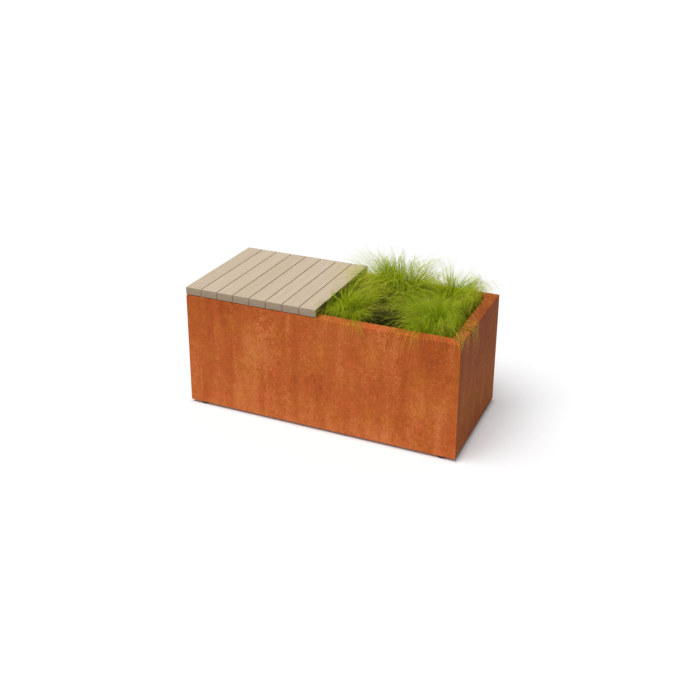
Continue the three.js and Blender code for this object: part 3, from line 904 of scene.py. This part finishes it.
# %% [markdown]
# A real blade can't pass through the deck or the steel: it slides up to the edge, lies on the rim and drops
# down outside. Simulating that for thousands of blades would take too long. Instead each blade is drawn
# from its foot, step by step, and each new point is moved off whatever it would be inside of.

# %% Where a blade may go
DECK_TOP = first_high.z
CLEAR = 1.5 * MM  # from a blade's middle line to what it touches
end_low, end_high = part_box("right_end_panel")
back_low, back_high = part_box("back_panel")
INNER_X, OUTER_X = end_low.x, end_high.x  # of the rim
INNER_Y, OUTER_Y = back_low.y, back_high.y
print("width of the rim in mm:", round((OUTER_X - INNER_X) / MM), round((OUTER_Y - INNER_Y) / MM))


def keep_off(here, there, deck_reach, end_reach, side_reach):
    """Moves the next point of each blade off the deck, the rim, the soil and the outside of the box."""
    x, y, z = there.T
    step = np.linalg.norm(there - here, axis=1)
    # A blade that is over the deck lies on it, and one that is lower stays beside it
    over_deck = here[:, 2] > DECK_TOP
    on_deck = (x < CLEAR) & over_deck
    x = np.where((x < CLEAR) & ~over_deck, CLEAR, x)
    z = np.where(on_deck, np.maximum(z, DECK_TOP + CLEAR), z)

    # One that meets the rim from below stays inside it, and one that comes from above lies on it
    can_pass = here[:, 2] > RIM_TOP
    side_y = np.sign(y)
    meets_end = (x > INNER_X - CLEAR) & (here[:, 0] < INNER_X) & ~can_pass
    meets_side = (abs(y) > INNER_Y - CLEAR) & (abs(here[:, 1]) < INNER_Y) & ~can_pass
    x = np.where(meets_end, INNER_X - CLEAR, x)
    y = np.where(meets_side, side_y * (INNER_Y - CLEAR), y)
    inside = (x < OUTER_X) & (abs(y) < OUTER_Y)
    on_rim = inside & ((x > INNER_X - CLEAR) | (abs(y) > INNER_Y - CLEAR)) & can_pass
    z = np.where(on_rim, np.maximum(z, RIM_TOP + CLEAR), z)

    # One that leaves the rim bends round its edge, and one that hangs outside stays off the steel
    was_inside = (here[:, 0] < OUTER_X) & (abs(here[:, 1]) < OUTER_Y)
    goes_over = was_inside & ~inside & (z < RIM_TOP + CLEAR)
    x = np.where(goes_over & (x > OUTER_X), OUTER_X + CLEAR, x)
    y = np.where(goes_over & (abs(y) > OUTER_Y), side_y * (OUTER_Y + CLEAR), y)
    z = np.where(goes_over, RIM_TOP + CLEAR, z)
    hangs = ~was_inside & (here[:, 2] < RIM_TOP + 2 * CLEAR)
    x = np.where(hangs & (here[:, 0] > OUTER_X), np.maximum(x, OUTER_X + CLEAR), x)
    y = np.where(hangs & (abs(here[:, 1]) > OUTER_Y), side_y * np.maximum(abs(y), OUTER_Y + CLEAR), y)

    # One that has reached as far as it may drops there, until it lies on the deck or the soil
    too_far = (x > OUTER_X + end_reach) | (abs(y) > OUTER_Y + side_reach) | (x < -deck_reach)
    x = np.clip(x, -deck_reach, OUTER_X + end_reach)
    y = side_y * np.minimum(abs(y), OUTER_Y + side_reach)
    sideways = np.hypot(x - here[:, 0], y - here[:, 1])
    drop = np.sqrt(np.maximum(step**2 - sideways**2, 0))
    z = np.where(too_far, here[:, 2] - drop, z)
    z = np.where(on_deck, np.maximum(z, DECK_TOP + CLEAR), z)
    in_bed = (x < INNER_X) & (abs(y) < INNER_Y)
    z = np.where(in_bed, np.maximum(z, soil_high.z + CLEAR), z)
    return np.stack([x, y, z], axis=1)


# %% [markdown]
# The blades of a wisp have nearly the same place, heading and bend, so most values are drawn for each wisp,
# and then changed a little for each blade. A few wisps may grow over an edge of the planter. They reach
# past it, and the others stay well inside, which leaves room for the low plants between the tufts.

# %% How far the blades reach
SHORT = (90 * MM, 190 * MM)  # lengths of most blades
LONG = (175 * MM, 315 * MM)
LONG_SHARE = 0.12
TIP_HEIGHT = 655 * MM  # of the highest tips over the ground
# How far past the right end and the sides the blades reach that grow over, and then all the others
END_REACH = ((5 * MM, 38 * MM), (-88 * MM, -52 * MM))
SIDE_REACH = ((5 * MM, 23 * MM), (-95 * MM, -54 * MM))
# At the deck's edge the same two ranges start here, and each tuft has its own ends for them
DECK_STARTS = (-10 * MM, -120 * MM)
OVER_SHARES = (0.6, 0.3, 1)  # of the blades that may grow over, how many may at the deck, end and sides


def reaches_of(rng, habit, fate):
    """How far each blade reaches past the deck's edge, the right end and the sides."""
    near, far = habit["deck"]
    deck_reach = ((DECK_STARTS[0], far * MM), (DECK_STARTS[1], near * MM))
    reaches = []
    for (over, inside), share in zip((deck_reach, END_REACH, SIDE_REACH), OVER_SHARES):
        past, short = (rng.uniform(*ends, len(fate)) for ends in (over, inside))
        reaches.append(np.where(fate < habit["over"] * share, past, short))
    return reaches


# %% How a blade grows
# What a wisp draws: its lowest and highest value, and how far its blades differ from it
AROUND = (0, 2 * math.pi, 0.12)  # where it stands round the tuft's middle
OUT = (0, 1, 0.06)  # how far out it stands, squared
HEADING = (-60, 60, 5)  # degrees that it leans aside from straight outwards
LEAN = (-10, 10, 3)  # degrees that it leans more than others there
DRIFT = (-45, 45, 7)  # degrees that it turns aside on its way to the tip
BEND_JITTER = 7  # degrees
INNER_LEAN = 5  # degrees off upright in the middle of the foot
MORE_LEAN = 38  # and how many more at its edge
CURVE = 1.5  # power with which lean and bend grow


def wispy(rng, wisp, low, high, jitter):
    """A random value for each wisp, and a little more or less than that for each of its blades."""
    return rng.uniform(low, high, wisp.max() + 1)[wisp] + rng.normal(0, jitter, len(wisp))


def lower_tips(lines):
    """Brings each line that rises too high down to the height of the highest tips."""
    base = DECK_TOP + CLEAR
    rise = np.maximum(lines[:, :, 2].max(axis=1) - base, CLEAR)
    shrink = np.minimum(1, (TIP_HEIGHT - base) / rise)
    over = lines[:, :, 2] > base
    lowered = base + (lines[:, :, 2] - base) * shrink[:, None]
    lines[:, :, 2] = np.where(over, lowered, lines[:, :, 2])


def middle_lines(rng, habit, wisp):
    """The middle line of each of a tuft's blades from foot to tip, and its heading at each point."""
    count = len(wisp)
    around = wispy(rng, wisp, *AROUND)
    out = np.sqrt(np.clip(wispy(rng, wisp, *OUT), 0, 1))
    heading = around + np.radians(wispy(rng, wisp, *HEADING))
    lean = np.radians(INNER_LEAN + MORE_LEAN * out**CURVE + wispy(rng, wisp, *LEAN))
    bend = np.radians(wispy(rng, wisp, *habit["bend"], BEND_JITTER))
    drift = np.radians(wispy(rng, wisp, *DRIFT))
    fate = rng.random(wisp.max() + 1)[wisp]  # the lowest may grow over, and the next are long too
    is_long = fate < habit["over"] + LONG_SHARE
    length = habit["size"] * np.where(is_long, rng.uniform(*LONG, count), rng.uniform(*SHORT, count))
    reaches = reaches_of(rng, habit, fate)
    x = (habit["place"][0] + habit["foot"] * out * np.cos(around)) * MM
    y = (habit["place"][1] + habit["foot"] * out * np.sin(around)) * MM
    here = np.stack([x, y, np.full(count, soil_high.z - SOIL_BUMP)], axis=1)
    lines = [here]
    headings = [heading]
    for k in range(1, BLADE_STEPS + 1):
        part = (k - 0.5) / BLADE_STEPS
        tilt = lean + bend * part**CURVE
        turn = heading + drift * part
        ahead = np.stack([np.sin(tilt) * np.cos(turn), np.sin(tilt) * np.sin(turn), np.cos(tilt)], axis=1)
        ahead += np.array([*habit["sway"], 0]) * part
        ahead /= np.linalg.norm(ahead, axis=1, keepdims=True)
        here = keep_off(here, here + ahead * (length / BLADE_STEPS)[:, None], *reaches)
        lines.append(here)
        headings.append(turn)
    lines = np.stack(lines, axis=1)
    lower_tips(lines)
    return lines, np.stack(headings, axis=1)


# %% The width of a blade along its line
WISP = 9  # blades that keep together
BLADE_WIDTH = (0.8 * MM, 1.9 * MM)  # half the width at the foot
BLADE_THICKNESS = 0.3  # of the width
TIP_WIDTH = 0.15  # of the width at the foot
HANGING_WIDTH = 0.6  # of the others' width, for the long blades that hang over the front rim or the end
TWIST = math.radians(40)
FOOT_TWIST = 0.5  # of its twist at half its length, which a blade has at its foot


def blade_skins(rng, lines, headings):
    """The points of all blades, each a strip that is bent along its line, twisted and tapered."""
    count = len(lines)
    along = np.gradient(lines, axis=1)
    along /= np.maximum(np.linalg.norm(along, axis=2, keepdims=True), 1e-9)
    across = np.stack([-np.sin(headings), np.cos(headings), np.zeros_like(headings)], axis=2)
    across -= (across * along).sum(axis=2, keepdims=True) * along
    across /= np.linalg.norm(across, axis=2, keepdims=True)
    outward = np.cross(across, along)
    part = blade_points[:, 2]
    steps = np.rint(part * BLADE_STEPS).astype(int)
    twist = rng.uniform(-TWIST, TWIST, (count, 1)) * (FOOT_TWIST + part)
    width = rng.uniform(*BLADE_WIDTH, (count, 1)) * (TIP_WIDTH + (1 - TIP_WIDTH) * (1 - part))
    tips = lines[:, -1]
    hangs = (tips[:, 1] < -OUTER_Y) | (tips[:, 0] > OUTER_X)
    width *= np.where(hangs, HANGING_WIDTH, 1)[:, None]
    flat, thick = blade_points[:, 0], BLADE_THICKNESS * blade_points[:, 1]
    sideways = width * (flat * np.cos(twist) - thick * np.sin(twist))
    upwards = width * (flat * np.sin(twist) + thick * np.cos(twist))
    points = lines[:, steps] + sideways[:, :, None] * across[:, steps]
    return points + upwards[:, :, None] * outward[:, steps]


# %% A tuft of copies
WISP_TONE = 0.6  # how much of a blade's tone it shares with its wisp


def grow(name, habit, seed):
    """One piece with all the blades of a tuft, and a UV map with each blade's tone and the way along it."""
    rng = np.random.default_rng(seed)
    count = habit["blades"]
    wisp = rng.integers(0, count // WISP, count)
    lines, headings = middle_lines(rng, habit, wisp)
    points = blade_skins(rng, lines, headings)
    size = len(blade_points)
    faces = [[v + k * size for v in face] for k in range(count) for face in blade_faces]
    mesh = bpy.data.meshes.new(name)
    mesh.from_pydata(points.reshape(-1, 3), [], faces)
    tones = WISP_TONE * rng.random(wisp.max() + 1)[wisp] + (1 - WISP_TONE) * rng.random(count)
    # A higher value here paints light coming through the blades, and it also leaves fewer straw blades
    tones = habit["fresh_and_backlit"] + (1 - habit["fresh_and_backlit"]) * tones
    corners = np.array([v for face in blade_faces for v in face])
    uv = np.empty((count, len(corners), 2))
    uv[:, :, 0] = tones[:, None]
    uv[:, :, 1] = blade_points[corners, 2]
    blade_map = mesh.uv_layers.new(name="blade")
    blade_map.uv.foreach_set("vector", uv.ravel())
    mesh.shade_smooth()
    piece = bpy.data.objects.new(name, mesh)
    bpy.context.collection.objects.link(piece)
    return piece


# %% [markdown]
# A blade's colour is painted dark at its foot, as the shade where little light gets in, and painted pale
# yellow green at its tip, as light coming through it. A few blades are last year's straw, and each blade has
# its own tone.
# A blade is so thin that light comes through it, which some subsurface scattering gives: without it, the
# blades in front of the light are nearly black.

# %% Grass colours
STRAW_SHARE = 0.07  # of the blades are last year's
# Along the blade: painted shade at the foot, painted light coming through the pale tips
GREENS_SHADE_TO_GLOW = [(0.0, "485808"), (0.3, "78950E"), (0.6, "C3E020"), (0.8, "FAFF46"), (1.0, "FFFF60")]
STRAWS_SHADE_TO_GLOW = [(0.0, "8A7A30"), (0.5, "D0AC40"), (1.0, "E8C868")]
BLADE_TONES = [(0.1, "A4AE98"), (0.45, "ECF2E0"), (0.8, "FFFFF4")]

grass_material, tree = new_material("fresh_fine_grass")
spot = node(tree, "ShaderNodeUVMap", uv_map="blade")
parts = node(tree, "ShaderNodeSeparateXYZ", {"Vector": spot.outputs[0]})
tone, way_along = parts.outputs["X"], parts.outputs["Y"]
green = node(tree, "ShaderNodeValToRGB", {"Fac": way_along}, stops=GREENS_SHADE_TO_GLOW)
straw = node(tree, "ShaderNodeValToRGB", {"Fac": way_along}, stops=STRAWS_SHADE_TO_GLOW)
is_straw = node(tree, "ShaderNodeMath", {0: tone, 1: STRAW_SHARE}, operation="LESS_THAN")
blade_colour = node(
    tree,
    "ShaderNodeMix",
    {"Factor": is_straw.outputs[0], "A": green.outputs["Color"], "B": straw.outputs["Color"]},
    data_type="RGBA",
)
tint = node(tree, "ShaderNodeValToRGB", {"Fac": tone}, stops=BLADE_TONES)
toned = node(
    tree,
    "ShaderNodeMix",
    {"Factor": 1.0, "A": blade_colour.outputs["Result"], "B": tint.outputs["Color"]},
    data_type="RGBA",
    blend_type="MULTIPLY",
)
surface = node(
    tree,
    "ShaderNodeBsdfPrincipled",
    {
        "Base Color": toned.outputs["Result"],
        "Roughness": 0.6,
        "Specular IOR Level": 0.1,
        "Subsurface Weight": 0.5,
        "Subsurface Radius": (1.0, 1.0, 0.1),
        "Subsurface Scale": 2 * MM,
    },
)
node(tree, "ShaderNodeOutputMaterial", {"Surface": surface.outputs[0]})
print(grass_material.name, "has", len(GREENS_SHADE_TO_GLOW), "greens from foot to tip")

# %% [markdown]
# The photograph shows five tufts. The one at the back left is the tallest and leans to the deck, the ones
# in front are bent more, and a small one fills the middle. A tuft's habit says all this:
#
# - place and foot: where it stands, and the radius of its foot, in mm
# - size: the length of its blades beside the others'
# - sway: the way in which it is drawn aside
# - bend: how far its blades bend over on their way to the tip, in degrees
# - over: the share of its blades that may grow over an edge of the planter
# - deck: how far past the deck's edge its other blades reach, less than nothing if they stay short of it,
#   and how far those do that grow over, in mm
# - fresh_and_backlit: 0 where it has straw and dark blades, up to 1 where all its blades are of the lightest
#   tone;
#   the higher values of the back tufts paint the light that comes through their blades
# - blades: their number

# %% The five tufts
COLUMNS = ("place", "foot", "size", "sway", "bend", "over", "deck", "fresh_and_backlit", "blades")
# The back tufts' lighter blades paint the light that shines through them
TUFTS = {
    "back_left": ((185, 155), 78, 0.99, (-0.3, 0.0), (20, 125), 0.3, (-70, 120), 0.5, 3200),
    "back_right": ((434, 155), 86, 0.73, (0.13, 0.03), (40, 130), 0.27, (-40, 0), 0.4, 3550),
    "centre": ((345, 15), 45, 0.6, (0.05, 0.2), (45, 130), 0.1, (-100, 0), 0, 1100),
    "front_left": ((72, -150), 44, 0.9, (-0.28, 0.0), (45, 140), 0.08, (-2, 30), 0.05, 3000),
    "front_right": ((460, -124), 62, 0.92, (0.05, 0.02), (55, 145), 0.08, (-40, 0), 0.1, 3400),
}
for seed, (corner, values) in enumerate(TUFTS.items(), 21):
    habit = dict(zip(COLUMNS, values))
    clump = grow(f"grass_clump_{corner}", habit, seed)
    settle(clump, f"grass_tuft_{corner}", grass_material)
    print(clump.name, "blades:", habit["blades"], "faces:", len(clump.data.polygons))

# %% [markdown]
# ## Ground cover
# Between the tufts creeps a low plant with small, dark, olive leaves. A leaf is a flattened ball with
# pointed ends, and two thousand copies of it, turned every way, make up each patch. A patch is a low dome,
# and the higher a leaf lies in it the paler its tone, which paints light on its top and shade lower down.

# %% One leaf
LEAF_LENGTH = 5.5 * MM  # half of it
LEAF_WIDTH = 3 * MM
LEAF_THICKNESS = 0.7 * MM

leaf = start(bpy.ops.mesh.primitive_uv_sphere_add, "one_leaf", segments=6, ring_count=4, radius=1)
pick(leaf, "VERT", lambda vertex: True)
bpy.ops.transform.resize(value=(LEAF_LENGTH, LEAF_WIDTH, LEAF_THICKNESS))
bpy.ops.object.mode_set(mode="OBJECT")

# Such leaves are leathery and a little waxy, but so small that hardly any shine is left of them
cover_material, tree = new_material("dark_leaves")
tone = node(tree, "ShaderNodeAttribute", attribute_name="tone").outputs["Fac"]
leaf_tones = [(0.0, "26280A"), (0.6, "484C16"), (1.0, "6C702A")]
leaf_colour = node(tree, "ShaderNodeValToRGB", {"Fac": tone}, stops=leaf_tones).outputs["Color"]
surface = node(
    tree,
    "ShaderNodeBsdfPrincipled",
    {"Base Color": leaf_colour, "Roughness": 0.6, "Specular IOR Level": 0.15},
)
node(tree, "ShaderNodeOutputMaterial", {"Surface": surface.outputs[0]})
print("one leaf:", len(leaf.data.polygons), "faces")

# %% The patches of leaves
LEAVES = 2000
COVER_HEIGHT = 60 * MM
LEAF_SIZES = (0.6, 1.2)
FRAYED_EDGE = (0.85, 1.05)  # how far out a leaf may be moved from its place
DOME_DEPTH = (0.3, 1.0)  # of the dome's height, in which the leaves lie
LOWEST_TONE = 0.15
TONE_RISE = 0.7  # from the foot of a patch to its top
TONE_JITTER = 0.15
LEAF_MARGIN = LEAF_LENGTH + CLEAR

for seed, patch in enumerate(nodes_named("ground_cover"), 41):
    rng = np.random.default_rng(seed)
    low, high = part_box(patch)
    middle = (low + high) / 2
    half = (high - low) / 2
    around = rng.uniform(0, 2 * math.pi, LEAVES)
    out = np.sqrt(rng.random(LEAVES)) * rng.uniform(*FRAYED_EDGE, LEAVES)
    x = np.clip(middle.x + half.x * out * np.cos(around), LEAF_MARGIN, INNER_X - LEAF_MARGIN)
    y = np.clip(middle.y + half.y * out * np.sin(around), LEAF_MARGIN - INNER_Y, INNER_Y - LEAF_MARGIN)
    dome = np.sqrt(np.maximum(0, 1 - out**2))
    rise = COVER_HEIGHT * dome * rng.uniform(*DOME_DEPTH, LEAVES)
    moves = np.tile(np.eye(4), (LEAVES, 1, 1))
    moves[:, :3, :3] = turns(rng, LEAVES) * rng.uniform(*LEAF_SIZES, (LEAVES, 1, 1))
    moves[:, :3, 3] = np.stack([x, y, soil_high.z + LEAF_LENGTH / 2 + rise], axis=1)
    jitter = rng.uniform(-TONE_JITTER, TONE_JITTER, LEAVES)
    # Painted light: the higher a leaf lies, the paler its tone, so a patch's top looks lit and its foot
    # shaded
    tones = LOWEST_TONE + TONE_RISE * rise / COVER_HEIGHT + jitter
    leaves = scatter(leaf, patch.replace("ground_cover", "leafy_cover"), moves, tones)
    settle(leaves, patch, cover_material)
    print(leaves.name, "leaves:", LEAVES)
bpy.data.objects.remove(leaf)

# %% [markdown]
# Last, the size of this model is printed, as that of the CAD model was at the start. Only grass that hangs
# over the rim, or stands up, may reach past the CAD model, and no more than a few centimetres.

# %% Print the finished size
low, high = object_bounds()
print("visual size in m:", [round(x, 3) for x in high - low])
